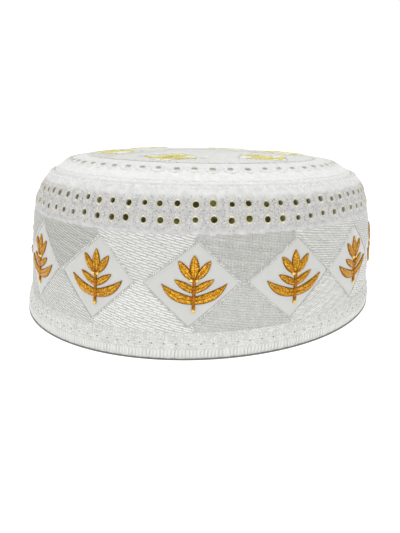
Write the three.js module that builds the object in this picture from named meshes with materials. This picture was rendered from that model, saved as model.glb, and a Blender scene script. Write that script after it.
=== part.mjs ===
// A round, stiff embroidered skullcap: a tall side band pierced by two rows of eyelets,
// a low crown set inside the band's rolled top edge, a folded binding round the head
// opening, and gold thread sprigs in relief on the band and on the crown.
// Millimetres, +Z up. The cap stands on its binding, with the front towards -Y and the
// origin at the centre of the head opening, on the surface that it stands on.
import * as THREE from "three";

// Driving dimensions
const openingRadius = 92; // outside of the binding, for a head of about 57 cm
const clothThickness = 2.2; // quilted band and crown
const bindingThickness = 1.1; // folded strip round the bottom edge
const bindingHeight = 9.6;
const fitGap = 0.3; // between pieces that are sewn together
const crownTopHeight = 75.2;

// Counts round the cap
const bandFacets = 76; // and as many eyelets in each of the band's two rows
const crownFacets = 38;
const bandSprigs = 13;
const crownSprigs = 6;

// The side band's outer face, from the bottom edge to the rolled top edge. A row that
// names eyelets has a ring of them at that height, below the next row.
const bandOuterRadius = openingRadius - bindingThickness - fitGap;
const bandProfile = [
  { height: 1.5, inset: 0 },
  { height: 35, inset: 2.5 },
  { height: 47.4, inset: 4.1, eyelets: 53.7 },
  { height: 57, inset: 6.2, eyelets: 59.5 },
  { height: 63.2, inset: 9.2 },
  { height: 66.3, inset: 11.4 },
];
const eyeletRadius = 1.35;
const eyeletSides = 6;

// The crown's outer face, from the seam inside the rolled edge to the middle
const crownProfile = [
  { radius: 77, drop: 9.5 },
  { radius: 74, drop: 6.9 },
  { radius: 69, drop: 4.2 },
  { radius: 60, drop: 2.4 },
  { radius: 48, drop: 1.4 },
  { radius: 26, drop: 0.4 },
];

// How the soft cap stands: it leans and sinks a little to one side and to the back, and
// its left shoulder has fallen in.
const leanAcross = 4;
const tiltAcross = -0.049;
const tiltBack = -0.037;
const slump = { depth: 2.6, reach: 80, from: 50, to: 67 };
const waves = [
  { count: 3, phase: 0.6, swell: 0.005 },
  { count: 5, phase: 2, swell: 0.003 },
];

const degree = Math.PI / 180;

// Carries a point of the upright round cap to where it is on the cap as it stands.
function settle(x, y, z) {
  const share = THREE.MathUtils.clamp(z / crownTopHeight, 0, 1);
  const angle = Math.atan2(x, -y);
  const swell = waves.reduce(
    (sum, wave) => sum + wave.swell * Math.sin(wave.count * angle + wave.phase),
    0,
  );
  const fallen =
    slump.depth *
    Math.max(0, -x / slump.reach) ** 3 *
    THREE.MathUtils.smoothstep(z, slump.from, slump.to);
  const across = x * (1 + share * swell) + leanAcross * share * (2 - share) + fallen;
  const back = y * (1 + share * swell);
  return [across, back, z + share * (tiltAcross * across + tiltBack * back)];
}

function mapPoints(geometry, place) {
  const points = geometry.attributes.position;
  for (let i = 0; i < points.count; i++) {
    points.setXYZ(i, ...place(points.getX(i), points.getY(i), points.getZ(i)));
  }
  geometry.computeVertexNormals();
  return geometry;
}

// A closed section turned round the cap's axis, with the middle of a facet at the front.
function turned(section, facets) {
  const points = section.map(([radius, height]) => new THREE.Vector2(radius, height));
  return new THREE.LatheGeometry(points, facets, -Math.PI / facets).rotateX(Math.PI / 2);
}

// A profile moved inwards by the cloth's thickness, square to the cloth.
function innerFace(outer, thickness) {
  return outer.map(([radius, height], i) => {
    const [r0, z0] = outer[Math.max(i - 1, 0)];
    const [r1, z1] = outer[Math.min(i + 1, outer.length - 1)];
    const length = Math.hypot(r1 - r0, z1 - z0);
    return [
      radius - (thickness * (z1 - z0)) / length,
      height + (thickness * (r1 - r0)) / length,
    ];
  });
}

function radiusAt(outline, height) {
  const above = outline.findIndex(([, z]) => z >= height);
  const end = above < 0 ? outline.length - 1 : Math.max(above, 1);
  const [r0, z0] = outline[end - 1];
  const [r1, z1] = outline[end];
  return r0 + ((r1 - r0) * (height - z0)) / (z1 - z0);
}

// Side band: laid out facet by facet as flat patches, each pierced by its eyelet
const bandOuter = bandProfile.map(({ height, inset }) => [bandOuterRadius - inset, height]);
const bandInner = innerFace(bandOuter, clothThickness);

// A point of a patch: u runs from one facet line to the next, and v up one profile row.
function patchPoint(face, facet, row, { x: u, y: v }) {
  const radius = THREE.MathUtils.lerp(face[row][0], face[row + 1][0], v);
  const height = THREE.MathUtils.lerp(face[row][1], face[row + 1][1], v);
  const from = ((facet - 0.5) * 2 * Math.PI) / bandFacets;
  const to = ((facet + 0.5) * 2 * Math.PI) / bandFacets;
  return settle(
    radius * THREE.MathUtils.lerp(Math.sin(from), Math.sin(to), u),
    -radius * THREE.MathUtils.lerp(Math.cos(from), Math.cos(to), u),
    height,
  );
}

// The outline of a row's eyelet in a patch's own measure, or none.
function eyeletHoles(row) {
  const { height, inset, eyelets } = bandProfile[row];
  if (!eyelets) return [];
  const next = bandProfile[row + 1];
  const patchHeight = Math.hypot(next.height - height, next.inset - inset);
  const patchWidth = (2 * Math.PI * radiusAt(bandOuter, eyelets)) / bandFacets;
  const middle = (eyelets - height) / (next.height - height);
  const hole = [];
  for (let i = 0; i < eyeletSides; i++) {
    const angle = (i * 2 * Math.PI) / eyeletSides;
    const across = (eyeletRadius * Math.sin(angle)) / patchWidth;
    const up = (eyeletRadius * Math.cos(angle)) / patchHeight;
    hole.push(new THREE.Vector2(0.5 + across, middle + up));
  }
  return [hole];
}

function sideBand() {
  const square = [[0, 0], [1, 0], [1, 1], [0, 1]].map(([u, v]) => new THREE.Vector2(u, v));
  const lastRow = bandProfile.length - 2;
  const faces = [];
  const addFace = (...corners) => faces.push(...corners.flat());

  for (let facet = 0; facet < bandFacets; facet++) {
    for (let row = 0; row <= lastRow; row++) {
      const outer = (point) => patchPoint(bandOuter, facet, row, point);
      const inner = (point) => patchPoint(bandInner, facet, row, point);
      const addEdge = (a, b) => {
        addFace(outer(b), outer(a), inner(a));
        addFace(outer(b), inner(a), inner(b));
      };
      const holes = eyeletHoles(row);
      const points = [...square, ...holes.flat()];
      for (const [a, b, c] of THREE.ShapeUtils.triangulateShape(square, holes)) {
        addFace(outer(points[a]), outer(points[b]), outer(points[c]));
        addFace(inner(points[c]), inner(points[b]), inner(points[a]));
      }
      for (const hole of holes) {
        hole.forEach((point, i) => addEdge(point, hole[(i + 1) % hole.length]));
      }
      if (row === 0) addEdge(square[0], square[1]);
      if (row === lastRow) addEdge(square[2], square[3]);
    }
  }
  const geometry = new THREE.BufferGeometry();
  geometry.setAttribute("position", new THREE.Float32BufferAttribute(faces, 3));
  geometry.computeVertexNormals();
  return geometry;
}

// Crown
const crownOuter = crownProfile.map(({ radius, drop }) => [radius, crownTopHeight - drop]);

function crownHeightAt(radius) {
  const past = crownOuter.findIndex(([r]) => r <= radius);
  if (past < 0) return crownTopHeight;
  const [r0, z0] = crownOuter[Math.max(past - 1, 0)];
  const [r1, z1] = crownOuter[Math.max(past, 1)];
  return z0 + ((z1 - z0) * (radius - r0)) / (r1 - r0);
}

function crown() {
  const under = innerFace(crownOuter, clothThickness);
  const section = [
    [0, crownTopHeight - clothThickness],
    ...under.reverse(),
    ...crownOuter,
    [0, crownTopHeight],
  ];
  return mapPoints(turned(section, crownFacets), settle);
}

// Binding: a strip folded in a U round the band's bottom edge
function binding() {
  const topOuter = radiusAt(bandOuter, bindingHeight) + fitGap;
  const bandInside = bandOuterRadius - clothThickness;
  const topInner = topOuter - clothThickness - 2 * fitGap;
  const corner = 0.6;
  const floor = bindingThickness;
  const section = [
    [openingRadius - corner, 0],
    [openingRadius, corner],
    [topOuter + bindingThickness, bindingHeight],
    [topOuter, bindingHeight],
    [bandOuterRadius + fitGap, floor],
    [bandInside - fitGap, floor],
    [topInner, bindingHeight],
    [topInner - bindingThickness, bindingHeight],
    [bandInside - fitGap - bindingThickness, corner],
    [bandInside - fitGap - bindingThickness + corner, 0],
    [openingRadius - corner, 0],
  ];
  return mapPoints(turned(section, bandFacets), settle);
}

// Gold sprig: a tulip on a stem with two pairs of leaves, the same on both sides
const sprigThickness = 0.9;
const sprigLift = 0.4; // clear of the cloth that it is stitched to
const stemHalfWidth = 0.7;
const flower = {
  tip: [0, 10.6],
  notch: [1.8, 5.6],
  petal: [6.4, 8.3],
  foot: [stemHalfWidth, 1.2],
  curves: [[2.6, 7.8], [3.2, 7.4], [5.8, 2.2]],
};
const leaves = [
  { above: -1.6, tip: [7.8, 1.2], below: -4.2, curves: [[3.2, 0.6], [5.8, -3]] },
  { above: -5.4, tip: [12.9, -0.8], below: -8.7, curves: [[6.2, -4], [9.8, -8.6]] },
];
const stemEnd = [0, -10.6];
const curveSteps = 2;

function sprigSide() {
  const side = new THREE.Path();
  const [centrePetal, petalTop, petalUnder] = flower.curves;
  side.moveTo(...flower.tip);
  side.quadraticCurveTo(...centrePetal, ...flower.notch);
  side.quadraticCurveTo(...petalTop, ...flower.petal);
  side.quadraticCurveTo(...petalUnder, ...flower.foot);
  for (const { above, tip, below, curves } of leaves) {
    side.lineTo(stemHalfWidth, above);
    side.quadraticCurveTo(...curves[0], ...tip);
    side.quadraticCurveTo(...curves[1], stemHalfWidth, below);
  }
  side.lineTo(...stemEnd);
  return side.getPoints(curveSteps);
}

function sprigBody() {
  const right = sprigSide();
  const left = right.slice(1, -1).reverse().map(({ x, y }) => new THREE.Vector2(-x, y));
  const shape = new THREE.Shape([...right, ...left]);
  return new THREE.ExtrudeGeometry(shape, { depth: sprigThickness, bevelEnabled: false });
}

const bandSprigHeight = 30.6;
const bandSprigStart = -2.5 * degree;
const crowding = 6 * degree; // the sprigs of the right side stand closer together
const crownSprigRadius = 44;
const crownSprigStart = -19 * degree;

function bandSprig(i) {
  const even = bandSprigStart + (i * 2 * Math.PI) / bandSprigs;
  const turn = even - crowding * Math.max(0, Math.sin(even)) ** 4;
  return mapPoints(sprigBody(), (x, y, out) => {
    const height = bandSprigHeight + y;
    const radius = radiusAt(bandOuter, height) + sprigLift + out;
    const angle = turn + x / radiusAt(bandOuter, bandSprigHeight);
    return settle(radius * Math.sin(angle), -radius * Math.cos(angle), height);
  });
}

// On the crown a sprig's tip points to the middle.
function crownSprig(i) {
  const turn = crownSprigStart + (i * 2 * Math.PI) / crownSprigs;
  return mapPoints(sprigBody(), (x, y, out) => {
    const away = crownSprigRadius - y;
    const across = x * Math.cos(turn) + away * Math.sin(turn);
    const back = x * Math.sin(turn) - away * Math.cos(turn);
    const height = crownHeightAt(Math.hypot(across, back)) + sprigLift + out;
    return settle(across, back, height);
  });
}

// Materials and assembly
const whiteCloth = new THREE.MeshStandardMaterial({ color: 0xe9e9e6, roughness: 0.85 });
const whiteBinding = new THREE.MeshStandardMaterial({ color: 0xefefeb, roughness: 0.9 });
const goldThread = new THREE.MeshStandardMaterial({
  color: 0xcf8a1c,
  roughness: 0.45,
  metalness: 0.3,
});

const cap = new THREE.Group();

function addPiece(name, geometry, material) {
  const mesh = new THREE.Mesh(geometry, material);
  mesh.name = name;
  cap.add(mesh);
}

const numbered = (name, i) => `${name}_${String(i + 1).padStart(2, "0")}`;

addPiece("side_band", sideBand(), whiteCloth);
addPiece("crown", crown(), whiteCloth);
addPiece("edge_binding", binding(), whiteBinding);
for (let i = 0; i < bandSprigs; i++) {
  addPiece(numbered("band_sprig", i), bandSprig(i), goldThread);
}
for (let i = 0; i < crownSprigs; i++) {
  addPiece(numbered("crown_sprig", i), crownSprig(i), goldThread);
}

export default cap;
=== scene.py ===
import math

import bpy
import numpy as np
from mathutils import Matrix, Vector


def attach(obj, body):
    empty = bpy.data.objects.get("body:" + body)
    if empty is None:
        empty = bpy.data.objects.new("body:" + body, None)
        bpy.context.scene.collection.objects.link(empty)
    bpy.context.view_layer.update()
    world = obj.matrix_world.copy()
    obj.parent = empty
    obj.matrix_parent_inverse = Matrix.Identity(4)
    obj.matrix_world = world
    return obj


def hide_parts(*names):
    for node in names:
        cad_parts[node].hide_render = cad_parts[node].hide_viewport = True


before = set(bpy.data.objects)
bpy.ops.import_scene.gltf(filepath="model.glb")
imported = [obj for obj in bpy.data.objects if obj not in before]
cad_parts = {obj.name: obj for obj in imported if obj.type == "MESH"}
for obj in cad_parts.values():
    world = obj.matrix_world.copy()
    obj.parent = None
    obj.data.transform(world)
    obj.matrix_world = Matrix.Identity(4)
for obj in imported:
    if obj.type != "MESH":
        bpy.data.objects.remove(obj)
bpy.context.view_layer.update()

mm = 0.001
degree = math.pi / 180

# Camera, floor and light
# The cap is seen from the front and a little above, close enough for a strong
# perspective, on a white sheet in a bright room, under two large soft lamps.
camera_data = bpy.data.cameras.new("Camera")
camera_data.lens = 35.97
camera_data.sensor_width = 36
camera_data.clip_start = 0.01
camera = bpy.data.objects.new("Camera", camera_data)
bpy.context.scene.collection.objects.link(camera)
camera_turn, camera_dip, camera_roll = -0.006, 0.3026, -0.0305
camera.matrix_world = (
    Matrix.Translation((0, -0.2873, 0.1005))
    @ Matrix.Rotation(camera_turn, 4, "Z")
    @ Matrix.Rotation(math.radians(90) - camera_dip, 4, "X")
    @ Matrix.Rotation(camera_roll, 4, "Z")
)
bpy.context.scene.camera = camera
bpy.context.scene.view_settings.view_transform = "Standard"


class Shade:
    """One value in a finish, so that sums on it are written as plain sums."""

    def __init__(self, finish, socket):
        self.finish, self.socket = finish, socket

    def sum_of(self, operation, first, second=0.0):
        return self.finish.add("ShaderNodeMath", {"operation": operation}, {0: first, 1: second})

    def __add__(self, other):
        return self.sum_of("ADD", self, other)

    def __rsub__(self, other):
        return self.sum_of("SUBTRACT", other, self)

    def __mul__(self, other):
        return self.sum_of("MULTIPLY", self, other)

    def above(self, edge, soft):
        """0 below the edge and 1 above it, over a soft width."""
        return self.finish.add(
            "ShaderNodeMapRange",
            {"interpolation_type": "SMOOTHSTEP"},
            {0: self, 1: edge - soft / 2, 2: edge + soft / 2, 3: 0.0, 4: 1.0},
        )

    def wave(self):
        return self.sum_of("SINE", self)


class Finish:
    """A material under way: a shader, and one method that adds any node to it."""

    def __init__(self, name, surface):
        self.material = bpy.data.materials.new(name)
        self.material.use_nodes = True
        self.tree = self.material.node_tree
        self.shader = next(n for n in self.tree.nodes if n.type == "BSDF_PRINCIPLED")
        self.wire(self.shader, surface)

    def wire(self, node, values):
        for socket, value in values.items():
            into = node.inputs[socket]
            if isinstance(value, Shade):
                self.tree.links.new(value.socket, into)
            else:
                into.default_value = (*value, 1) if into.type == "RGBA" else value

    def add(self, kind, settings, values, output=0):
        node = self.tree.nodes.new(kind)
        for setting, value in settings.items():
            setattr(node, setting, value)
        self.wire(node, values)
        return Shade(self, node.outputs[output])

    def blend(self, share, first, second):
        return self.add("ShaderNodeMix", {"data_type": "RGBA"}, {0: share, 6: first, 7: second}, 2)

    def place(self):
        return self.add("ShaderNodeTexCoord", {}, {}, "Object")

    def laid(self, attribute):
        """The three values of an attribute that follows the cloth or thread."""
        vector = self.add(
            "ShaderNodeAttribute", {"attribute_type": "GEOMETRY", "attribute_name": attribute}, {}, "Vector"
        )
        parts = self.add("ShaderNodeSeparateXYZ", {}, {0: vector})
        return vector, *(Shade(self, parts.socket.node.outputs[i]) for i in range(3))

    def noise(self, vector, scale, detail=2.0, roughness=0.5):
        values = {"Vector": vector, "Scale": scale, "Detail": detail, "Roughness": roughness}
        return self.add("ShaderNodeTexNoise", {}, values)

    def stretched(self, vector, scale):
        return self.add("ShaderNodeVectorMath", {"operation": "MULTIPLY"}, {0: vector, 1: scale})

    def relief(self, height, distance, strength):
        normal = self.add("ShaderNodeBump", {}, {"Height": height, "Distance": distance, "Strength": strength})
        self.wire(self.shader, {"Normal": normal})


bpy.ops.mesh.primitive_circle_add(vertices=96, radius=1.6, fill_type="NGON")
floor = bpy.context.object
floor.name = "floor"
paper = Finish("white_paper", {"Roughness": 0.9, "Specular IOR Level": 0.1})
# No light gets in under the cap, so the floor's colour and glow are painted dark there up to the hem: a
# painted shadow.
hem_middle, hem_reach, hem_softness = (0, -0.6 * mm, 0), 92.1 * mm, 0.7 * mm
from_middle = paper.add(
    "ShaderNodeVectorMath", {"operation": "DISTANCE"}, {0: paper.place(), 1: hem_middle}, "Value"
)
clear_of_hem = from_middle.above(hem_reach, hem_softness)
paper.wire(
    paper.shader,
    {
        "Base Color": paper.blend(clear_of_hem, (0.22, 0.21, 0.19), (0.88, 0.88, 0.88)),
        "Emission Color": paper.blend(clear_of_hem, (0.05, 0.05, 0.05), (0.49, 0.49, 0.49)),
        "Emission Strength": 1.0,
    },
)
floor.data.materials.append(paper.material)


def soft_lamp(name, place, aim, width, watts):
    """A round lamp that faces a point."""
    data = bpy.data.lights.new(name, "AREA")
    data.shape, data.size, data.energy = "DISK", width, watts
    lamp = bpy.data.objects.new(name, data)
    lamp.location = place
    lamp.rotation_euler = (Vector(place) - Vector(aim)).to_track_quat("Z", "Y").to_euler()
    bpy.context.scene.collection.objects.link(lamp)


soft_lamp("front_lamp", (-0.12, -0.75, 1.0), (0, 0, 0.05), 0.7, 4.5)
soft_lamp("top_lamp", (0.1, 0.1, 1.3), (0, 0, 0.05), 0.9, 6.0)

world = bpy.data.worlds.new("white_room")
bpy.context.scene.world = world
world.use_nodes = True
sky = world.node_tree
direction = sky.nodes.new("ShaderNodeTexCoord")
split = sky.nodes.new("ShaderNodeSeparateXYZ")
height_of_sky = sky.nodes.new("ShaderNodeMapRange")
height_of_sky.interpolation_type = "SMOOTHSTEP"
for socket, value in {"From Min": 0.3, "From Max": 0.8, "To Min": 1.06, "To Max": 0.3}.items():
    height_of_sky.inputs[socket].default_value = value
sky.links.new(direction.outputs["Generated"], split.inputs[0])
sky.links.new(split.outputs[2], height_of_sky.inputs[0])
sky.links.new(height_of_sky.outputs[0], sky.nodes["Background"].inputs["Strength"])
sky.nodes["Background"].inputs["Color"].default_value = (1, 1, 1, 1)

# Side band
# One long strip of white cotton, backed and quilted, sewn to a ring. It is pierced
# by two rows of eyelets under its top edge, which is rolled over into the crown seam.
crown_top = 75.2 * mm
eyelets_round = 76
band_bottom = 1.5 * mm
row_edges = (51.2 * mm, 57.2 * mm, 63.4 * mm)
eyelet_rows = (54.2 * mm, 60.3 * mm)
eyelet_hole = 1.3 * mm
row_radius = 84.2 * mm
column = 2 * math.pi / eyelets_round * row_radius
by_hand = np.random.default_rng(11)


def smooth_line(points, first):
    """A smooth line through radius and height points in mm: the length along it, which
    starts at first, its points, and its normals."""
    known = np.array([points[0], *points, points[-1]]) * mm
    t = np.linspace(0, 1, 24, endpoint=False)[:, None]
    line = [
        0.5 * (2 * b + (c - a) * t + (2 * a - 5 * b + 4 * c - d) * t**2 + (3 * b - a - 3 * c + d) * t**3)
        for a, b, c, d in zip(known, known[1:], known[2:], known[3:])
    ]
    line = np.vstack([*line, known[-1:]])
    length = first + np.r_[0, np.cumsum(np.linalg.norm(np.diff(line, axis=0), axis=1))]
    run = np.gradient(line, axis=0)
    run /= np.linalg.norm(run, axis=1)[:, None]
    return length, line, np.stack([run[:, 1], -run[:, 0]], 1)


lean, sink_to_side, sink_to_back = 4 * mm, 0.049, 0.037
shoulder_low, shoulder_height, shoulder_fall = 50 * mm, 17 * mm, 2.6 * mm


def settle(x, y, z):
    """Where a point of the upright cap is on the cap as it stands, soft and leaning,
    with its left shoulder fallen in."""
    share = np.clip(z / crown_top, 0, 1)
    angle = np.arctan2(x, -y)
    swell = 1 + share * (0.005 * np.sin(3 * angle + 0.6) + 0.003 * np.sin(5 * angle + 2))
    high = np.clip((z - shoulder_low) / shoulder_height, 0, 1)
    fallen = shoulder_fall * np.maximum(-x / (80 * mm), 0) ** 3 * high**2 * (3 - 2 * high)
    across = x * swell + lean * share * (2 - share) + fallen
    back = y * swell
    return np.stack([across, back, z - share * (sink_to_side * across + sink_to_back * back)], -1)


def on_line(line, turn, up, out):
    """A point of the cap by its turn, its way along a line, and how far out it is."""
    length, points, normals = line
    radius = np.interp(up, length, points[:, 0]) + out * np.interp(up, length, normals[:, 0])
    height = np.interp(up, length, points[:, 1]) + out * np.interp(up, length, normals[:, 1])
    return settle(radius * np.sin(turn), -radius * np.cos(turn), height)


band_line = smooth_line(
    [(90.6, 1.5), (89.4, 18), (88.1, 35), (86.5, 47.4), (84.4, 57), (81.6, 63), (79.4, 65.9),
     (78.6, 66.5), (77.9, 66.6), (77.5, 66.2)],
    band_bottom,
)

# The needle never strikes quite where it should, so each eyelet has its own offset.
eyelet_shift = by_hand.uniform(-0.42, 0.42, (2, eyelets_round, 2)) * mm
eyelet_size = by_hand.uniform(0.86, 1.13, (2, eyelets_round))
eyelet_turns = (np.arange(eyelets_round) - eyelets_round / 2 + 0.5) * 2 * math.pi / eyelets_round


def on_band(turn, up, out):
    return on_line(band_line, turn, up, out)


def held(away):
    """How far the cloth goes along with an eyelet, from 1 beside it to 0."""
    return np.clip(1.6 - away / (2.4 * mm), 0, 1)


def ridge(away, radius, width, height):
    """The rise of a soft round ridge."""
    return height * np.exp(-(((away - radius) / width) ** 2))


def quilted(turn, up, out):
    """The band's own surface: drawn in between the eyelets and proud round each."""
    for row, middle in enumerate(eyelet_rows):
        k = np.floor((turn + math.pi) / (2 * math.pi) * eyelets_round).astype(int) % eyelets_round
        x = (turn - eyelet_turns[k]) * row_radius
        y = up - middle
        away = np.hypot(x, y)
        hold = held(away)
        grow = (eyelet_size[row][k] - 1) * hold
        turn = turn + (eyelet_shift[row][k, 0] * hold + grow * x) / row_radius
        up = up + eyelet_shift[row][k, 1] * hold + grow * y
        out = out + ridge(away, 1.9 * mm, 0.9 * mm, 0.28 * mm)
    return on_band(turn, up, out)


def points_of(mesh):
    flat = np.empty(len(mesh.vertices) * 3)
    mesh.vertices.foreach_get("co", flat)
    return flat.reshape(-1, 3)


def keep_points(mesh, points):
    mesh.vertices.foreach_set("co", np.ascontiguousarray(points, dtype=float).ravel())
    mesh.update()


def mark(mesh, name, values):
    """Gives a mesh an attribute of three values for each point, for its finish."""
    layer = mesh.attributes.new(name, "FLOAT_VECTOR", "POINT")
    layer.data.foreach_set("vector", np.ascontiguousarray(values, dtype=float).ravel())


def choose(*pieces):
    bpy.ops.object.select_all(action="DESELECT")
    for piece in pieces:
        piece.select_set(True)
    bpy.context.view_layer.objects.active = pieces[0]


def join(name, pieces):
    choose(*pieces)
    if len(pieces) > 1:
        bpy.ops.object.join()
    piece = bpy.context.object
    piece.name = piece.data.name = name
    return piece


def in_edit(piece, step, **settings):
    """Runs an edit operator on the whole of a piece."""
    choose(piece)
    bpy.ops.object.mode_set(mode="EDIT")
    bpy.ops.mesh.select_all(action="SELECT")
    step(**settings)
    bpy.ops.object.mode_set(mode="OBJECT")


def weld(piece, within=0.02 * mm):
    in_edit(piece, bpy.ops.mesh.remove_doubles, threshold=within)


def face_out(piece):
    in_edit(piece, bpy.ops.mesh.normals_make_consistent, inside=False)


def plain_patch(width, low, high, rows):
    """A plain patch of cloth, one column of the pattern wide."""
    bpy.ops.mesh.primitive_grid_add(
        x_subdivisions=4, y_subdivisions=rows, size=1, location=(0, (low + high) / 2, 0)
    )
    piece = bpy.context.object
    piece.scale = (width, high - low, 1)
    bpy.ops.object.transform_apply(location=True, scale=True)
    return piece


def pierced_patch(width, low, high, hole):
    """A patch with an eyelet: rings of cloth drawn out from the hole to the patch's edge."""
    bpy.ops.mesh.primitive_circle_add(vertices=16, radius=hole, location=(0, 0, 0))
    piece = bpy.context.object
    bpy.ops.object.mode_set(mode="EDIT")
    for growth in (1.5, 1.35):
        bpy.ops.mesh.extrude_edges_move()
        bpy.ops.transform.resize(value=(growth, growth, 1))
    bpy.ops.mesh.extrude_edges_move()
    bpy.ops.object.mode_set(mode="OBJECT")
    points = points_of(piece.data)
    border = np.arange(len(points)) >= 48
    angle = np.arctan2(points[border, 1], points[border, 0])
    reach = 1 / np.maximum(np.abs(np.cos(angle)), np.abs(np.sin(angle)))
    square = np.stack([np.cos(angle) * reach, np.sin(angle) * reach], 1)
    square = np.where(np.abs(np.abs(square) - math.tan(22.5 * degree)) < 0.01, np.sign(square) * 0.5, square)
    points[border, 0], points[border, 1] = square[:, 0] * width / 2, square[:, 1] * (high - low) / 2
    points[:, 1] += (low + high) / 2
    keep_points(piece.data, points)
    return piece


def repeat_round(piece, width, count):
    """Repeats a column of cloth side by side and gives the flat points, with the middle at 0."""
    array = piece.modifiers.new("columns", "ARRAY")
    array.use_relative_offset, array.use_constant_offset = False, True
    array.constant_offset_displace = (width, 0, 0)
    array.count = count
    array.use_merge_vertices, array.merge_threshold = True, 0.02 * mm
    choose(piece)
    bpy.ops.object.modifier_apply(modifier="columns")
    points = points_of(piece.data)
    points[:, 0] -= (count - 1) / 2 * width
    return points


def thicken(piece, thickness, face, backing):
    """Gives cloth its thickness, with its face outside and in the eyelets, and its
    backing inside."""
    piece.data.materials.append(face)
    piece.data.materials.append(backing)
    wall = piece.modifiers.new("cloth", "SOLIDIFY")
    wall.thickness, wall.offset, wall.use_even_offset = thickness, -1, True
    wall.material_offset = 1
    choose(piece)
    bpy.ops.object.modifier_apply(modifier="cloth")
    bpy.ops.object.shade_smooth_by_angle(angle=50 * degree)


def finish_piece(piece, slot, *nodes):
    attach(piece, "root")
    if nodes:
        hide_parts(*nodes)


band = join("band_cloth", [
    plain_patch(column, band_bottom, row_edges[0], 9),
    pierced_patch(column, row_edges[0], row_edges[1], eyelet_hole),
    pierced_patch(column, row_edges[1], row_edges[2], eyelet_hole),
    plain_patch(column, row_edges[2], band_line[0][-1], 7),
])
weld(band)
flat = repeat_round(band, column, eyelets_round)
keep_points(band.data, quilted(flat[:, 0] / row_radius, flat[:, 1], flat[:, 2]))
mark(band.data, "cloth", np.stack([flat[:, 0], flat[:, 1], np.hypot(flat[:, 0], flat[:, 1])], 1) / mm)
weld(band)
face_out(band)


def cotton(name, pale, deep, zone=None, glow=None):
    """Bleached cotton: a plain weave with slubs and fine puckers. A zone is a height
    range and a colour in which the cloth is darker: under satin stitch this is painted
    shade between the stitches, elsewhere it is cloth greyer than the rest. The glow is
    painted light: an emission in patches that stands in for light through thin cloth."""
    cloth = Finish(
        name, {"Roughness": 0.88, "Sheen Weight": 0.2, "Sheen Roughness": 0.5, "Specular IOR Level": 0.2}
    )
    vector, around, up, _ = cloth.laid("cloth")
    thread_count = 2 * math.pi / 0.62
    weave = (around * thread_count).wave() * (up * thread_count).wave()
    slub = cloth.noise(cloth.stretched(vector, (0.35, 2.2, 1)), 1.0)
    pucker = cloth.noise(cloth.place(), 420.0, 3.0, 0.6)
    mottled = pucker.above(0.5, 0.4)
    shade = cloth.blend(mottled, deep, pale)
    for low, high, soft, colour in zone or ():
        patch = cloth.blend(mottled, tuple(0.8 * c for c in colour), colour)
        shade = cloth.blend(up.above(low, soft) * (1 - up.above(high, soft)), shade, patch)
    cloth.wire(cloth.shader, {"Base Color": shade})
    # Painted light: the glow is an emission, not a lamp, that stands in for light coming through thin cloth.
    if glow:
        patches = cloth.noise(cloth.place(), 75.0, 1.0).above(0.53, 0.16)
        glow = cloth.blend(patches, (0, 0, 0), glow)
        cloth.wire(cloth.shader, {"Emission Color": glow, "Emission Strength": 1.0})
    cloth.relief(weave * 0.18 + slub * 0.3 + pucker * 1.1, 0.22 * mm, 0.8)
    return cloth.material


# The backing's glow is painted light coming through the cloth.
backing = cotton("unbleached_backing", (0.62, 0.57, 0.32), (0.50, 0.45, 0.23), glow=(0.085, 0.085, 0.02))
thicken(
    band, 1.5 * mm,
    cotton(
        "band_cotton", (0.70, 0.70, 0.69), (0.59, 0.59, 0.58),
        # Painted shade: from 11 to 49 mm, under the satin ground, the cloth is painted darker as shade between
        # the stitches. The eyelet zone above it is greyer.
        [(11, 49, 0.8, (0.60, 0.60, 0.58)), (49, 63, 4.0, (0.555, 0.55, 0.54))],
    ),
    backing,
)
finish_piece(band, "band_cloth", "side_band")

# Eyelet rims
# Each eyelet is overcast: a raised cream ring of thread lies round the hole, and
# short white stitches run out from it over the cloth.


def read_shape(piece):
    """The points and faces of a modelled stitch, which is then put away."""
    shape = points_of(piece.data), [tuple(face.vertices) for face in piece.data.polygons]
    bpy.data.objects.remove(piece)
    return shape


def model_stitch():
    """One stitch, a thread that bulges between two needle holes and sinks in at both."""
    bpy.ops.mesh.primitive_uv_sphere_add(segments=5, ring_count=4, radius=0.5, rotation=(0, math.pi / 2, 0))
    piece = bpy.context.object
    bpy.ops.object.transform_apply(rotation=True)
    points = points_of(piece.data)
    blunt = (np.abs(points[:, 0]) > 0.2) & (np.abs(points[:, 0]) < 0.45)
    points[blunt, 1:] *= 1.22
    points[:, 2] = np.where(points[:, 2] < 0, points[:, 2] * 0.3, points[:, 2] * 2)
    keep_points(piece.data, points)
    face_out(piece)
    return read_shape(piece)


stitch = model_stitch()


def many(name, shape, place, tones):
    """Copies one modelled shape to many places as one mesh. place takes the shape's x, y
    and z and gives the points of all the copies."""
    points, faces = shape
    placed = place(points[None, :, 0], points[None, :, 1], points[None, :, 2])
    count, each = placed.shape[:2]
    mesh = bpy.data.meshes.new(name)
    mesh.from_pydata(
        placed.reshape(-1, 3).tolist(),
        [],
        [tuple(i * each + v for v in face) for i in range(count) for face in faces],
    )
    mesh.polygons.foreach_set("use_smooth", [True] * len(mesh.polygons))
    thread = [np.broadcast_to(v, (count, each)) for v in (points[:, 0], points[:, 1], tones[:, None])]
    mark(mesh, "thread", np.stack(thread, -1))
    piece = bpy.data.objects.new(name, mesh)
    bpy.context.scene.collection.objects.link(piece)
    return piece


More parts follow.
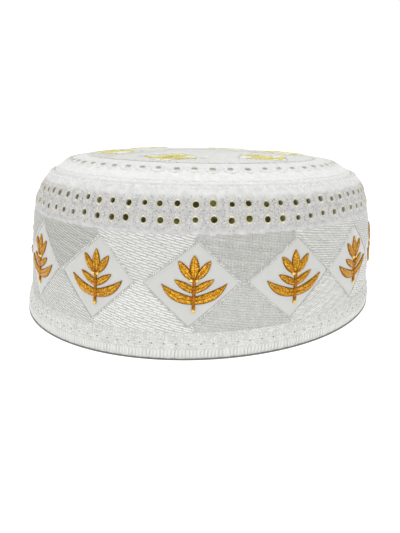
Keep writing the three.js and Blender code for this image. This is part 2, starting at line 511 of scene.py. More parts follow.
def sew(name, surface, radius, turn, up, slant, length, width, height, lift=0.0, tones=None):
    """Sews stitches to a surface. Each has a place, a slant from level, a size and a tone.
    The radius turns a way round into an angle. It is 1 for a surface that takes lengths."""

    def place(x, y, z):
        column_of = lambda v: np.broadcast_to(np.asarray(v, dtype=float), turn.shape)[:, None]
        along, across = x * column_of(length), y * column_of(width)
        right = along * np.cos(column_of(slant)) - across * np.sin(column_of(slant))
        rise = along * np.sin(column_of(slant)) + across * np.cos(column_of(slant))
        return surface(
            column_of(turn) + right / column_of(radius),
            column_of(up) + rise,
            z * column_of(height) + column_of(lift),
        )

    return many(name, stitch, place, by_hand.random(len(turn)) if tones is None else tones)


def thread_finish(name, pale, deep, roughness, relief, end_shade=0.5, metallic=0.0):
    """Shiny embroidery thread: fine plies that run along each stitch, each stitch with
    its own tone, and painted shade at its ends, where it dips into the cloth."""
    thread = Finish(
        name, {"Roughness": roughness, "Sheen Weight": 0.1, "Specular IOR Level": 0.45, "Metallic": metallic}
    )
    vector, along, _, tone = thread.laid("thread")
    plies = thread.noise(thread.stretched(vector, (2.5, 11.0, 31.0)), 1.0, 1.0)
    ends = (along * along).above(0.19, 0.09)
    shade = thread.blend(tone * 0.65 + plies * 0.35, deep, pale)
    # Painted shade: the ends of each stitch, where it dips into the cloth, are darkened.
    shade = thread.blend(ends * end_shade, shade, tuple(0.62 * c for c in deep))
    thread.wire(thread.shader, {"Base Color": shade})
    thread.relief(plies, relief, 0.7)
    return thread.material


cream_thread = thread_finish("cream_overcast_thread", (0.71, 0.695, 0.59), (0.56, 0.54, 0.43), 0.65, 0.1 * mm)
white_thread = thread_finish("white_sewing_thread", (0.84, 0.84, 0.83), (0.74, 0.74, 0.73), 0.55, 0.1 * mm)
ray_thread = thread_finish("ray_thread", (0.70, 0.695, 0.675), (0.61, 0.605, 0.585), 0.7, 0.06 * mm, 0.3)
# Painted shade: needle holes are small dark grey marks that stand in for the shade inside each hole.
needle_hole_shade = Finish(
    "needle_hole_shade", {"Base Color": (0.27, 0.27, 0.265), "Roughness": 0.9, "Specular IOR Level": 0.1}
).material


def rims(name, surface, radius, turn, up, size, hole):
    """Overcast rings for eyelets at the given places."""
    bpy.ops.mesh.primitive_torus_add(major_segments=16, minor_segments=6, major_radius=1, minor_radius=0.26)
    ring = read_shape(bpy.context.object)

    def place(x, y, z):
        reach = (size * (hole + 0.22 * mm))[:, None]
        return surface(turn[:, None] + x * reach / radius, up[:, None] + y * reach, z * 1.15 * mm + 0.25 * mm)

    piece = many(name, ring, place, by_hand.random(len(turn)))
    piece.data.materials.append(cream_thread)
    return piece


def rays(name, surface, radius, turn, up, size, hole, count, needle):
    """Short stitches that run out from each ring, each to its own needle hole, in the
    needle finish. On the rolled edge no needle holes show."""
    angle = np.linspace(0, 2 * math.pi, count, endpoint=False)[None] + by_hand.uniform(0, 1, (len(turn), 1))
    angle = angle + by_hand.uniform(-0.14, 0.14, angle.shape)
    long = by_hand.uniform(1.3, 2.1, angle.shape) * mm
    near = size[:, None] * hole + 0.55 * mm
    right, rise = np.cos(angle), np.sin(angle)
    halfway = near + long / 2
    threads = sew(
        name, surface, radius,
        (turn[:, None] + halfway * right / radius).ravel(), (up[:, None] + halfway * rise).ravel(),
        angle.ravel(), long.ravel(), 0.34 * mm, 0.16 * mm, 0.16 * mm,
    )
    threads.data.materials.append(ray_thread)
    bpy.ops.mesh.primitive_circle_add(vertices=6, radius=0.5, fill_type="TRIFAN")
    dot = read_shape(bpy.context.object)
    end = near + long + 0.12 * mm
    across, along = (turn[:, None] + end * right / radius).ravel(), (up[:, None] + end * rise).ravel()
    wide = by_hand.uniform(0.3, 0.56, (angle.size, 1)) * mm
    shown = along < row_edges[2]
    across, along, wide = across[shown], along[shown], wide[shown]

    def place(x, y, z):
        return surface(across[:, None] + x * wide / radius, along[:, None] + y * wide, z + 0.2 * mm)

    # On the band these dots are dark grey, painted shade of the needle holes.
    dots = many(name + "_ends", dot, place, by_hand.random(len(along)))
    dots.data.materials.append(needle)
    return join(name, [threads, dots])


eyelet_places = [
    (
        eyelet_turns + eyelet_shift[row, :, 0] / row_radius,
        eyelet_rows[row] + eyelet_shift[row, :, 1],
        eyelet_size[row],
    )
    for row in (0, 1)
]
eyelet_places = [np.concatenate(values) for values in zip(*eyelet_places)]
band_rims = rims("band_eyelet_rims", on_band, row_radius, *eyelet_places, eyelet_hole)
finish_piece(band_rims, "band_cloth")
band_rays = rays("band_eyelet_stitches", on_band, row_radius, *eyelet_places, eyelet_hole, 12, needle_hole_shade)
finish_piece(band_rays, "band_cloth")

# Lozenge panels
# Thirteen smooth panels of close white satin stitch stand in a row round the band,
# slightly padded. They almost touch at their side corners.
panels = 13
panel_step = 2 * math.pi / panels
first_panel = -2.5 * degree
belt_radius = 88 * mm
panel_middle = 30 * mm
panel_corners = np.array([(-21.2, 0), (1.4, 16.6), (18.4, 0), (-1.6, -17.6)]) * mm
even_turns = first_panel + (np.arange(panels) - 6) * panel_step
panel_turns = even_turns - 6 * degree * np.maximum(np.sin(even_turns), 0) ** 4


def panel_distance(corners, x, y):
    """How far a flat point is outside a lozenge, below 0 inside it."""
    away = np.full(np.broadcast(x, y).shape, -1.0)
    for (ax, ay), (bx, by) in zip(corners, np.roll(corners, -1, axis=0)):
        long = math.hypot(bx - ax, by - ay)
        away = np.maximum(away, ((bx - ax) * (y - ay) - (by - ay) * (x - ax)) / long)
    return away


def lozenge_shape(corners):
    """A flat grid drawn to the lozenge, crowned, with its edge turned down."""
    bpy.ops.mesh.primitive_grid_add(x_subdivisions=14, y_subdivisions=14, size=2)
    piece = bpy.context.object
    points = points_of(piece.data)
    u, v = np.sign(points[:, :2].T) * (1 - (1 - np.abs(points[:, :2].T)) ** 1.35)
    left, top, right, bottom = corners
    square = [((1 - u) * (1 + v) / 4, left), ((1 + u) * (1 + v) / 4, top),
              ((1 + u) * (1 - v) / 4, right), ((1 - u) * (1 - v) / 4, bottom)]
    flat = sum(share[:, None] * corner for share, corner in square)
    edge = np.maximum(np.abs(u), np.abs(v))
    crowned = 0.2 * mm + 0.3 * mm * (1 - edge**4)
    crowned[edge > 0.99] = -0.1 * mm
    keep_points(piece.data, np.column_stack([flat, crowned]))
    return read_shape(piece)


def panel_finish(name, deep, pale):
    """Satin so close and fine that it reads as a smooth white sheet."""
    satin = Finish(name, {"Roughness": 0.5, "Sheen Weight": 0.15, "Specular IOR Level": 0.35})
    vector, *_ = satin.laid("thread")
    rows = satin.noise(satin.stretched(vector, (170.0, 9.0, 40.0)), 1.0, 1.0)
    broad = satin.noise(satin.place(), 90.0, 2.0)
    satin.wire(satin.shader, {"Base Color": satin.blend(broad * 0.6 + rows * 0.4, deep, pale)})
    satin.relief(rows, 0.05 * mm, 0.5)
    return satin.material


def place_band_panels(x, y, z):
    return on_band(panel_turns[:, None] + x / belt_radius, panel_middle + y, z + 0 * panel_turns[:, None])


band_panels = many("lozenge_panels", lozenge_shape(panel_corners), place_band_panels, by_hand.random(panels))
face_out(band_panels)
band_panels.data.materials.append(panel_finish("panel_satin", (0.480, 0.483, 0.466), (0.556, 0.559, 0.540)))
finish_piece(band_panels, "band_cloth")

# Satin ground
# Between the lozenges the band is filled with rows of long slanting stitches in shiny
# white thread, staggered from row to row, so that thin dark lines show between them.
fill_low, slants_meet, fill_high = 10.2 * mm, 27 * mm, 48.8 * mm


def fill_rows(inside, width, low, high, slant, pitch, long, stagger):
    """The stitches that fill a flat shape in slanting rows: their middles and lengths."""
    reach = math.hypot(width, high - low)
    direction = np.array([math.cos(slant), math.sin(slant)])
    square = np.array([-direction[1], direction[0]])
    centre = np.array([0, (low + high) / 2])
    step = 0.12 * mm
    found = []
    for k in range(int(-reach / 2 / pitch), int(reach / 2 / pitch) + 1):
        along = np.arange(-reach / 2, reach / 2, step)
        wander = 0.1 * mm * math.sin(k * 1.7)
        x, y = (centre + square * (k * pitch + wander) + along[:, None] * direction).T
        cell = np.floor(along / long + k * stagger + by_hand.uniform(-0.04, 0.04)).astype(int)
        kept = inside(x, y) & (y > low) & (y < high)
        for number in np.unique(cell[kept]):
            run = np.flatnonzero(kept & (cell == number))
            parts = np.split(run, np.flatnonzero(np.diff(run) > 1) + 1)
            for part in parts:
                if len(part) * step > 0.7 * mm:
                    found.append((x[part].mean(), y[part].mean(), len(part) * step))
    return np.array(found)


# Painted sheen: each field's tone is set, above and below the lozenges' side corners, to paint how its satin
# catches the light.
field_sheen_tones = [
    (0.45, 0.6), (0.2, 0.45), (0.0, 0.25), (0.0, 0.25), (-0.5, 0.4), (0.65, 0.9), (-0.32, 0.12),
    (0.4, 0.75), (0.3, 0.75), (0.55, 0.75), (0.2, 0.4), (0.4, 0.6), (0.6, 0.75),
]
ground_turn, ground_up, ground_long, ground_slant, ground_tone_and_sheen = [], [], [], [], []
for i in range(panels):
    before, after = panel_turns[i], panel_turns[(i + 1) % panels] + 2 * math.pi * (i == panels - 1)
    middle, field = (before + after) / 2, (after - before) * belt_radius

    def open_ground(x, y):
        left = panel_distance(panel_corners, x + field / 2, y - panel_middle)
        right = panel_distance(panel_corners, x - field / 2, y - panel_middle)
        reach = field / 2 + by_hand.uniform(0, 0.9) * mm
        return (left > 0.1 * mm) & (right > 0.1 * mm) & (np.abs(x) < reach)

    # Every fourth field is a grid of short stitches, and every fifth is loose, in two slants.
    gridded, loose = i % 4 == 2, i % 5 == 2
    pitch, long, stagger, overlap = (1.0, 3.4 if loose else 5.6, 0.37, 0.5)
    if gridded:
        pitch, long, stagger, overlap = 1.06, 1.35, 0.06, -0.2
    plans = [(fill_low, fill_high, -9 if gridded else -14, 0.5 * degree)]
    if loose:
        plans = [(fill_low, slants_meet, 19, 3 * degree), (slants_meet, fill_high, -8, 2 * degree)]
    for low, high, slant, wander in plans:
        rows = fill_rows(open_ground, field, low, high, slant * degree, pitch * mm, long * mm, stagger)
        ground_turn.append(middle + rows[:, 0] / belt_radius)
        ground_up.append(rows[:, 1])
        ground_long.append(rows[:, 2] + overlap * mm)
        ground_slant.append(slant * degree + by_hand.normal(0, wander, len(rows)))
        above, below = field_sheen_tones[i]
        tone = np.interp(rows[:, 1], (panel_middle - 4 * mm, panel_middle + 4 * mm), (below, above))
        ground_tone_and_sheen.append(tone + by_hand.uniform(-0.12, 0.12, len(rows)) * (2.5 if loose else 1))
ground_turn, ground_up, ground_long, ground_slant, ground_tone_and_sheen = (
    np.concatenate(v) for v in (ground_turn, ground_up, ground_long, ground_slant, ground_tone_and_sheen)
)
ground = sew(
    "satin_ground", on_band, belt_radius, ground_turn, ground_up, ground_slant, ground_long,
    by_hand.uniform(0.84, 0.92, len(ground_turn)) * mm, by_hand.uniform(0.30, 0.40, len(ground_turn)) * mm,
    0.0, ground_tone_and_sheen,
)
satin_thread = thread_finish(
    "satin_thread", (0.832, 0.837, 0.81), (0.475, 0.475, 0.442), 0.36, 0.1 * mm, end_shade=0.08
)
ground.data.materials.append(satin_thread)
finish_piece(ground, "band_cloth")

# Lozenge edging
# A narrow line of short slanting stitches covers the join between each lozenge and
# the ground round it.


def edging(corners, spacing):
    """Middles and directions of the stitches along a lozenge's four sides."""
    found = []
    for (ax, ay), (bx, by) in zip(corners, np.roll(corners, -1, axis=0)):
        long = math.hypot(bx - ax, by - ay)
        for t in np.arange(0.4 * mm, long - 0.3 * mm, spacing) / long:
            found.append((ax + (bx - ax) * t, ay + (by - ay) * t, math.atan2(by - ay, bx - ax)))
    return np.array(found)


edging_pitch, edging_slant = 0.95 * mm, 38 * degree
edge_x, edge_y, edge_slant = edging(panel_corners, edging_pitch).T
band_edging = sew(
    "lozenge_edging", on_band, belt_radius,
    (panel_turns[:, None] + edge_x / belt_radius).ravel(), np.tile(panel_middle + edge_y, panels),
    np.tile(edge_slant + edging_slant, panels),
    by_hand.uniform(1.15, 1.4, len(edge_x) * panels) * mm, 0.55 * mm, 0.3 * mm, 0.2 * mm,
)
band_edging.data.materials.append(satin_thread)
finish_piece(band_edging, "band_cloth")

# Crown cloth
# A low round top of the same quilted cotton, sewn inside the band's rolled edge and
# pierced by one ring of eyelets near the seam.
crown_eyelets = 58
crown_ring = 68.4 * mm
crown_hole = 0.85 * mm
crown_line = smooth_line(
    [(77.6, 65.7), (76.6, 66.8), (74, 68.5), (69, 71.1), (60, 72.9), (48, 73.9), (26, 74.8), (0, 75.2)], 0
)
crown_column = 2 * math.pi / crown_eyelets * crown_ring
field_edge, field_core = 58.8 * mm, 20 * mm
crown_shift = by_hand.uniform(-0.35, 0.35, (crown_eyelets, 2)) * mm
crown_turns = (np.arange(crown_eyelets) - crown_eyelets / 2 + 0.5) * 2 * math.pi / crown_eyelets


def way_in(radius):
    """The length along the crown from the seam to a radius."""
    return np.interp(-radius, -crown_line[1][:, 0], crown_line[0])


ring_at = way_in(crown_ring)
ring_from, ring_to = ring_at - 3.4 * mm, ring_at + 3.4 * mm


def on_crown(turn, along, out):
    """A point of the crown by its turn and its way in from the seam."""
    return on_line(crown_line, turn, along, out)


def scalloped(turn, along, out):
    """The crown's own surface, puffed in a shell outside each eyelet."""
    k = np.floor((turn + math.pi) / (2 * math.pi) * crown_eyelets).astype(int) % crown_eyelets
    x, y = (turn - crown_turns[k]) * crown_ring, along - ring_at
    away = np.hypot(x, y)
    hold = held(away)
    shell = ridge(np.hypot(x, y + 1.0 * mm), 3.4 * mm, 0.7 * mm, 0.35 * mm)
    out = out + ridge(away, 1.9 * mm, 0.8 * mm, 0.3 * mm) + shell * (along < ring_at + 3 * mm)
    return on_crown(turn + crown_shift[k, 0] * hold / crown_ring, along + crown_shift[k, 1] * hold, out)


crown = join("crown_cloth", [
    plain_patch(crown_column, 0, ring_from, 6),
    pierced_patch(crown_column, ring_from, ring_to, crown_hole),
    plain_patch(crown_column, ring_to, crown_line[0][-1], 16),
])
weld(crown)
flat = repeat_round(crown, crown_column, crown_eyelets)
keep_points(crown.data, scalloped(flat[:, 0] / crown_ring, flat[:, 1], flat[:, 2]))
mark(crown.data, "cloth", np.stack([flat[:, 0], flat[:, 1], flat[:, 2]], 1) / mm)
weld(crown, 0.04 * mm)
face_out(crown)
thicken(
    crown, 1.5 * mm,
    cotton(
        # Painted light: the crown's cotton has lighter colours than the band's, the same cloth, for the light
        # from above.
        "crown_cotton", (0.79, 0.79, 0.775), (0.71, 0.71, 0.70),
        # Painted shade: under the crown's satin field the cloth is painted darker as shade between the
        # stitches.
        [(way_in(field_edge) / mm, way_in(field_core) / mm, 0.8, (0.66, 0.66, 0.65))],
    ),
    backing,
)
finish_piece(crown, "crown_cloth", "crown")

crown_places = (
    crown_turns + crown_shift[:, 0] / crown_ring,
    ring_at + crown_shift[:, 1],
    by_hand.uniform(0.88, 1.1, crown_eyelets),
)
crown_rims = rims("crown_eyelet_rims", on_crown, crown_ring, *crown_places, crown_hole)
finish_piece(crown_rims, "crown_cloth")
crown_rays = rays(
    "crown_eyelet_stitches", on_crown, crown_ring, *crown_places, crown_hole, 11, white_thread
)
finish_piece(crown_rays, "crown_cloth")

# Scallops and seam
# Arcs of short stitches make a shell outside each crown eyelet. Two rows of slanting
# stitches hold the crown to the rolled edge of the band.
arc = np.linspace(200 * degree, 340 * degree, 9)
scallop_turn = crown_turns[:, None] + 3.6 * mm * np.cos(arc)[None] / crown_ring
scallop_along = ring_at + 1.0 * mm + 4.2 * mm * np.sin(arc)[None] + 0 * scallop_turn
scallop_slant = np.broadcast_to(arc + math.pi / 2, scallop_turn.shape)
scallops = sew(
    "crown_scallops", on_crown, crown_ring,
    scallop_turn.ravel(), scallop_along.ravel(), scallop_slant.ravel(),
    1.2 * mm, 0.6 * mm, 0.34 * mm, 0.2 * mm,
)
scallops.data.materials.append(white_thread)
finish_piece(scallops, "crown_cloth")


def seam_row(name, surface, radius, up, count):
    """A row of stitches that slant to one side and the other in turn."""
    slant = np.where(np.arange(count) % 2, 24, -24) * degree
    turn = np.linspace(-math.pi, math.pi, count, endpoint=False) + by_hand.uniform(-0.004, 0.004, count)
    piece = sew(
        name, surface, radius, turn, up + by_hand.uniform(-0.12, 0.12, count) * mm, slant,
        by_hand.uniform(1.9, 2.3, count) * mm, 0.62 * mm, 0.3 * mm, -0.02 * mm,
    )
    piece.data.materials.append(white_thread)
    return piece


finish_piece(seam_row("rim_seam", on_band, 79.5 * mm, 67.2 * mm, 250), "band_cloth")
finish_piece(seam_row("crown_seam", on_crown, 75.5 * mm, 2.6 * mm, 236), "crown_cloth")

# Crown field
# A raised round of the same slanting satin stitch covers the middle of the crown,
# with six lozenges in it like those of the band and a small round at its centre.
crown_panels = 6
crown_panel_radius = 44 * mm
crown_panel_turns = (-19 + 60 * np.arange(crown_panels)) * degree
crown_corners = np.array([(-16.8, 0), (0, 15), (16.8, 0), (0, -14.5)]) * mm


def on_top(x, y, out):
    """A point of the crown by its place in plan, seen from above."""
    return on_crown(np.arctan2(x, -y), way_in(np.hypot(x, y)), out)


def turned_plan(x, y, turn):
    return x * np.cos(turn) - y * np.sin(turn), x * np.sin(turn) + y * np.cos(turn)


def panel_plan(turn, x, y):
    """A flat point of a crown lozenge, whose top points to the middle, in plan."""
    return turned_plan(x, -(crown_panel_radius - y), turn)


top_x, top_y, top_long, top_slant = [], [], [], []
for turn in crown_panel_turns:
    def open_crown(x, y):
        radius, angle = np.hypot(x, y), np.arctan2(x, -y)
        own = panel_distance(crown_corners, x, y + crown_panel_radius)
        wedge = np.abs(angle) < 180 * degree / crown_panels
        return (radius < field_edge) & (radius > field_core) & wedge & (own > 0.25 * mm)

    rows = fill_rows(
        open_crown, 2 * field_edge, -field_edge, -0.5 * field_core, -14 * degree, 1.06 * mm, 4.4 * mm, 0.37
    )
    x, y = turned_plan(rows[:, 0], rows[:, 1], turn)
    top_x.append(x)
    top_y.append(y)
    top_long.append(rows[:, 2] + 0.5 * mm)
    top_slant.append(turn - 14 * degree + by_hand.normal(0, 0.5 * degree, len(rows)))
top_x, top_y, top_long, top_slant = (np.concatenate(v) for v in (top_x, top_y, top_long, top_slant))
# Painted light: the crown ground's tones are held light, lighter than the band's satin, for the light from
# above.
top_ground = sew(
    "crown_ground", on_top, 1.0, top_x, top_y, top_slant, top_long,
    by_hand.uniform(0.86, 0.94, len(top_x)) * mm, by_hand.uniform(0.36, 0.46, len(top_x)) * mm,
    0.0, by_hand.uniform(0.75, 1.0, len(top_x)),
)
top_ground.data.materials.append(satin_thread)
finish_piece(top_ground, "crown_cloth")

crown_lozenge = lozenge_shape(crown_corners)


def place_crown_panels(x, y, z):
    px, py = panel_plan(crown_panel_turns[:, None], x, y)
    return on_top(px, py, z + 0 * px)


top_panels = many("crown_lozenges", crown_lozenge, place_crown_panels, by_hand.random(crown_panels))
face_out(top_panels)
# Painted light: the crown lozenges' satin is a lighter copy of the band's, for the light from above.
top_panels.data.materials.append(panel_finish("crown_panel_satin", (0.74, 0.74, 0.73), (0.82, 0.82, 0.81)))
finish_piece(top_panels, "crown_cloth")

# Two rings of stitches edge the field outside, two inside, and one line each lozenge.
# Each row here holds the stitches' x, y, slants and lifts.
lines = []
for radius, spacing in ((59.2, 1.25), (58.1, 1.25), (20.4, 1.2), (19.3, 1.2)):
    count = int(2 * math.pi * radius / spacing)
    angle = np.linspace(0, 2 * math.pi, count, endpoint=False)
    x, y = radius * mm * np.cos(angle), radius * mm * np.sin(angle)
    lines.append([x, y, angle + 40 * degree, 0 * x])
for edge_x, edge_y, edge_slant in edging(crown_corners, edging_pitch):
    x, y = panel_plan(crown_panel_turns, edge_x, edge_y)
    lines.append([x, y, edge_slant + crown_panel_turns + edging_slant, 0 * x + 0.2 * mm])
line_x, line_y, line_slant, line_lift = np.hstack(lines)
top_lines = sew(
    "crown_edging", on_top, 1.0, line_x, line_y, line_slant, by_hand.uniform(1.2, 1.5, len(line_x)) * mm,
    0.62 * mm, 0.34 * mm, line_lift,
)
top_lines.data.materials.append(satin_thread)
finish_piece(top_lines, "crown_cloth")

# Binding
# A strip of the same cotton folded in a U round the band's bottom edge. Close overcast
# stitches wrap its fold. Above them are a row of running stitches with its needle holes
# and rows of tiny stitches.
strip_radius = 92 * mm
strip_line = smooth_line(
    [(87.6, 9.4), (87.3, 5), (87.4, 1.4), (88.2, 0.2), (89.8, 0.0), (91.4, 0.05), (91.95, 0.7),
     (91.9, 3.6), (91.4, 6.4), (90.8, 8.7), (90.15, 10.6)],
    -12.9 * mm,
)


def on_strip(turn, up, out):
    return on_line(strip_line, turn, up, out)


bpy.ops.mesh.primitive_grid_add(x_subdivisions=216, y_subdivisions=34, size=1)
binding = bpy.context.object
binding.name = binding.data.name = "folded_binding"
flat = points_of(binding.data)
strip_turn = flat[:, 0] * 2 * math.pi
strip_up = np.interp(flat[:, 1], (-0.5, 0.5), (strip_line[0][0], strip_line[0][-1]))
keep_points(binding.data, on_strip(strip_turn, strip_up, 0.06 * mm * np.sin(strip_turn * 120)))
mark(binding.data, "cloth", np.stack([strip_turn * strip_radius, strip_up, 0 * strip_up], 1) / mm)
weld(binding)
face_out(binding)
binding_cotton = cotton("binding_cotton", (0.70, 0.70, 0.675), (0.58, 0.58, 0.56))
thicken(binding, 0.7 * mm, binding_cotton, binding_cotton)
finish_piece(binding, "binding_cloth", "edge_binding")


def plan_row(up, pitch, slant, wander, long, wide, high, tones):
    """A level row of stitches round the binding, for sew: sizes in mm, a slant in
    degrees, a share from 0 to 1 for how much they wander, and the range of their tones."""
    count = int(2 * math.pi * strip_radius / (pitch * mm))
    shift = by_hand.uniform(-0.2, 0.2, count) * pitch * mm * wander
    return (
        np.linspace(-math.pi, math.pi, count, endpoint=False) + shift / strip_radius,
        up * mm + by_hand.uniform(-0.25, 0.25, count) * wander * mm,
        slant * degree + by_hand.normal(0, 22 * degree, count) * wander,
        by_hand.uniform(0.9, 1.1, count) * long * mm,
        np.full(count, wide * mm),
        by_hand.uniform(0.85, 1.15, count) * high * mm,
        np.zeros(count),
        by_hand.uniform(*tones, count),
    )


hem_thread = thread_finish("hem_thread", (0.885, 0.885, 0.855), (0.55, 0.55, 0.525), 0.6, 0.12 * mm, 0.7)


def sew_rows(name, rows, *others):
    """Sews planned rows as one piece and joins the other pieces to it."""
    piece = sew(name, on_strip, strip_radius, *(np.concatenate(values) for values in zip(*rows)))
    piece.data.materials.append(hem_thread)
    finish_piece(join(name, [piece, *others]), "binding_cloth")


sew_rows("hem_overcast", [plan_row(2.5, 1.5, 90, 0.25, 4.4, 1.5, 0.18, (0.3, 0.45))])
run_pitch = 5.1
run = plan_row(6.4, run_pitch, 0, 0.0, 3.7, 0.6, 0.3, (0.3, 0.7))
run_turn, run_up, run_slant, *_ = run
# Painted shade: the run's needle holes are short dark grey stitches between its stitches.
run_holes = sew(
    "run_holes", on_strip, strip_radius, run_turn + run_pitch / 2 * mm / strip_radius, run_up, run_slant,
    0.75 * mm, 0.6 * mm, 0.2 * mm,
)
run_holes.data.materials.append(needle_hole_shade)
sew_rows("hem_run", [run], run_holes)
sew_rows(
    "hem_pebbles",
    [
        plan_row(up, 1.3, -35 if i % 2 == 0 else 35, 0.9, 1.2, 0.62, 0.32, (0.0, 1.0))
        for i, up in enumerate((5.2, 7.5, 8.3, 9.1, 9.9, 10.6))
    ],
)

# Gold sprigs
# A tulip with two pairs of leaves in padded gold satin stitch on each lozenge, outlined
# with fine brown gold stitches. Its stem is a rope of slanting stitches with a pale bud
# below it and one on each side.


def on_table(across, up, out):
    """The flat table that a sprig is worked on before it is laid on the cap."""
    return np.stack(np.broadcast_arrays(across, up, out), -1)


def bowed(start, pull, end, t):
    """Points on a curve from start to end that is drawn towards the pull point, in mm."""
    start, pull, end = (np.array(p) * mm for p in (start, pull, end))
    t = np.asarray(t)[..., None]
    return (1 - t) ** 2 * start + 2 * t * (1 - t) * pull + t**2 * end


petals = [
    ((0, 1.0), (-3.7, 5.6), (3.7, 5.6), (0, 1.0), (0, 10.6)),
    ((0.5, 1.5), (2.0, 6.9), (5.9, 2.2), (0.5, 0.9), (6.4, 8.3)),
    ((0.5, -1.7), (3.2, 0.5), (5.8, -2.9), (0.5, -4.1), (7.8, 1.2)),
    ((0.5, -5.5), (6.2, -4.1), (9.8, -8.5), (0.5, -8.5), (12.9, -0.8)),
]
for low, pull_low, pull_high, high, tip in petals[1:4]:
    petals.append(tuple((-x, y) for x, y in (low, pull_low, pull_high, high, tip)))

gold_parts, outlines = [], []
for low, pull_low, pull_high, high, tip in petals:
    bpy.ops.mesh.primitive_uv_sphere_add(segments=14, ring_count=16, radius=1, rotation=(0, math.pi / 2, 0))
    piece = bpy.context.object
    bpy.ops.object.transform_apply(rotation=True)
    points = points_of(piece.data)
    girth = np.sqrt(np.clip(1 - points[:, 0] ** 2, 1e-6, 1))
    t, v = (points[:, 0] + 1) / 2, points[:, 1] / girth
    v[girth < 0.01] = 0
    side_a, side_b = bowed(low, pull_low, tip, t), bowed(high, pull_high, tip, t)
    flat = side_a + (side_b - side_a) * ((v + 1) / 2)[:, None]
    rise = 0.68 * mm + 0.58 * mm * points[:, 2] / girth * np.sqrt(girth) * (girth > 0.01)
    keep_points(piece.data, np.column_stack([flat, rise]))
    mark(piece.data, "thread", np.column_stack([t * math.dist(high, tip), v, np.full(len(t), 0.5)]))
    face_out(piece)
    gold_parts.append(piece)
    middle, pull_middle = np.add(low, high) / 2, np.add(pull_low, pull_high) / 2
    lines = ((low, pull_low, 0.5, 1), (high, pull_high, 0.5, 1), (middle, pull_middle, 1.1, 0.82))
    for start, pull, lift, stop in lines:
        steps = bowed(start, pull, tip, np.linspace(0, stop, 60))
        run = np.r_[0, np.cumsum(np.linalg.norm(np.diff(steps, axis=0), axis=1))]
        at = np.arange(0.3 * mm, run[-1] - 0.1 * mm, 0.85 * mm)
        x, y = np.interp(at, run, steps[:, 0]), np.interp(at, run, steps[:, 1])
        heading = np.arctan2(np.gradient(y), np.gradient(x))
        outlines.append([x, y, heading + 12 * degree, np.full(len(x), lift * mm)])


def gold_satin(name, pale, deep, edge, shine):
    """Padded satin stitch in metal thread, with painted shade where it turns down at its sides, and painted
    highlights along its wraps and in specks.
    """
    gold = Finish(name, {"Roughness": 0.38, "Specular IOR Level": 0.3, "Metallic": 0.95})
    _, along, across, _ = gold.laid("thread")
    wraps = (along * 9.0 + (across * across) * 2.6).wave()
    mottle = gold.noise(gold.place(), 900.0, 2.0, 0.6)
    specks = gold.noise(gold.place(), 1900.0, 1.0)
    body = gold.blend(mottle.above(0.5, 0.3), deep, pale)
    # Painted shade at the sides, where the satin turns down.
    body = gold.blend((across * across).above(0.55, 0.6) * 0.8, body, edge)
    # Painted highlights along the wraps, and below in specks.
    body = gold.blend((wraps * 0.5 + 0.5) * 0.35, body, shine)
    body = gold.blend(specks.above(0.6, 0.1) * 0.8, body, edge)
    gold.wire(gold.shader, {"Base Color": gold.blend((1 - specks).above(0.62, 0.1) * 0.7, body, shine)})
    gold.relief(wraps * 0.5 + mottle + specks * 0.5, 0.14 * mm, 0.9)
    return gold.material


def metal_thread(name, pale, deep):
    return thread_finish(name, pale, deep, 0.42, 0.1 * mm, metallic=0.9)


band_golds = [
    gold_satin(
        "gold_thread", (0.66, 0.30, 0.014), (0.32, 0.11, 0.004), (0.15, 0.05, 0.002), (0.96, 0.60, 0.08)
    ),
    metal_thread("brown_gold_thread", (0.46, 0.17, 0.006), (0.22, 0.07, 0.002)),
    metal_thread("gold_rope_thread", (0.66, 0.27, 0.016), (0.24, 0.085, 0.006)),
    # Painted highlight: the buds' pale gold stands in for the light on their round tops.
    metal_thread("bud_gold_painted_highlight", (0.98, 0.84, 0.36), (0.80, 0.50, 0.06)),
]
# Painted light: the crown's gold is the same thread as the band's, with paler, yellower copies of its colours
# for the top light on the crown.
crown_golds_painted_top_light = [
    gold_satin(
        "painted_lit_gold_thread", (0.98, 0.93, 0.24), (0.82, 0.74, 0.13), (0.50, 0.43, 0.06), (1.0, 0.98, 0.5)
    ),
    metal_thread("painted_lit_outline_thread", (0.76, 0.66, 0.12), (0.50, 0.42, 0.06)),
    metal_thread("painted_lit_rope_thread", (0.98, 0.90, 0.22), (0.64, 0.55, 0.09)),
    metal_thread("painted_lit_bud_thread", (1.0, 0.95, 0.55), (0.85, 0.7, 0.2)),
]

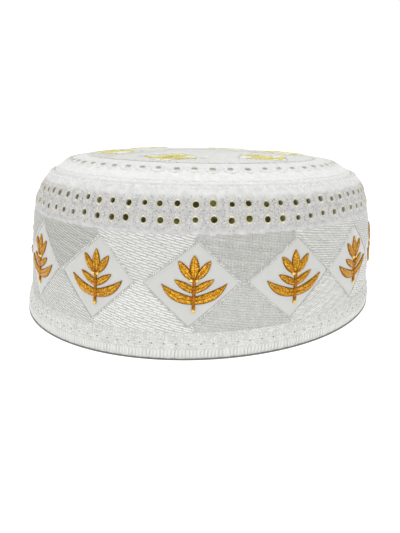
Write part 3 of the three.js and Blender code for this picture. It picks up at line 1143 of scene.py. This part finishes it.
for part in gold_parts:
    part.data.materials.append(band_golds[0])
    part.data.polygons.foreach_set("use_smooth", [True] * len(part.data.polygons))
outline_x, outline_y, outline_slant, outline_lift = np.hstack(outlines)
outline = sew(
    "outline", on_table, 1.0, outline_x, outline_y, outline_slant,
    1.05 * mm, 0.34 * mm, 0.3 * mm, outline_lift,
)
outline.data.materials.append(band_golds[1])
stem_up = np.arange(-10.2, 1.8, 0.62) * mm
stem = sew(
    "stem", on_table, 1.0, np.zeros(len(stem_up)), stem_up, np.full(len(stem_up), 38 * degree),
    1.75 * mm, 0.85 * mm, 0.95 * mm, 0.5 * mm,
)
stem.data.materials.append(band_golds[2])
# The buds' pale gold is a painted highlight.
bud_x, bud_y = np.array([0, -1.15, 1.15]) * mm, np.array([-11.0, 0.9, 0.9]) * mm
buds = sew("buds", on_table, 1.0, bud_x, bud_y, np.zeros(3), 1.7 * mm, 1.7 * mm, 1.15 * mm, 0.5 * mm)
buds.data.materials.append(band_golds[3])
sprig = join("sprig", [*gold_parts, outline, stem, buds])
sprig_flat = points_of(sprig.data)


def lay_sprig(name, node, place, golds):
    piece = sprig.copy()
    piece.data = sprig.data.copy()
    piece.name = piece.data.name = name
    for i, thread in enumerate(golds):
        piece.data.materials[i] = thread
    bpy.context.scene.collection.objects.link(piece)
    keep_points(piece.data, place(*sprig_flat.T))
    finish_piece(piece, "gold_thread", node)


# The nodes count on from the lozenge at the front.
sprig_radius, sprig_middle = 88.4 * mm, 30.6 * mm
for i in range(panels):
    turn = panel_turns[(i + 6) % panels]
    lay_sprig(
        f"band_gold_{i + 1:02d}", f"band_sprig_{i + 1:02d}",
        lambda x, y, z: on_band(turn + x / sprig_radius, sprig_middle + y, z),
        band_golds,
    )
for i in range(crown_panels):
    lay_sprig(
        f"crown_gold_{i + 1:02d}", f"crown_sprig_{i + 1:02d}",
        lambda x, y, z: on_top(*panel_plan(crown_panel_turns[i], x, y), z * 0.6),
        crown_golds_painted_top_light,
    )
bpy.data.objects.remove(sprig)
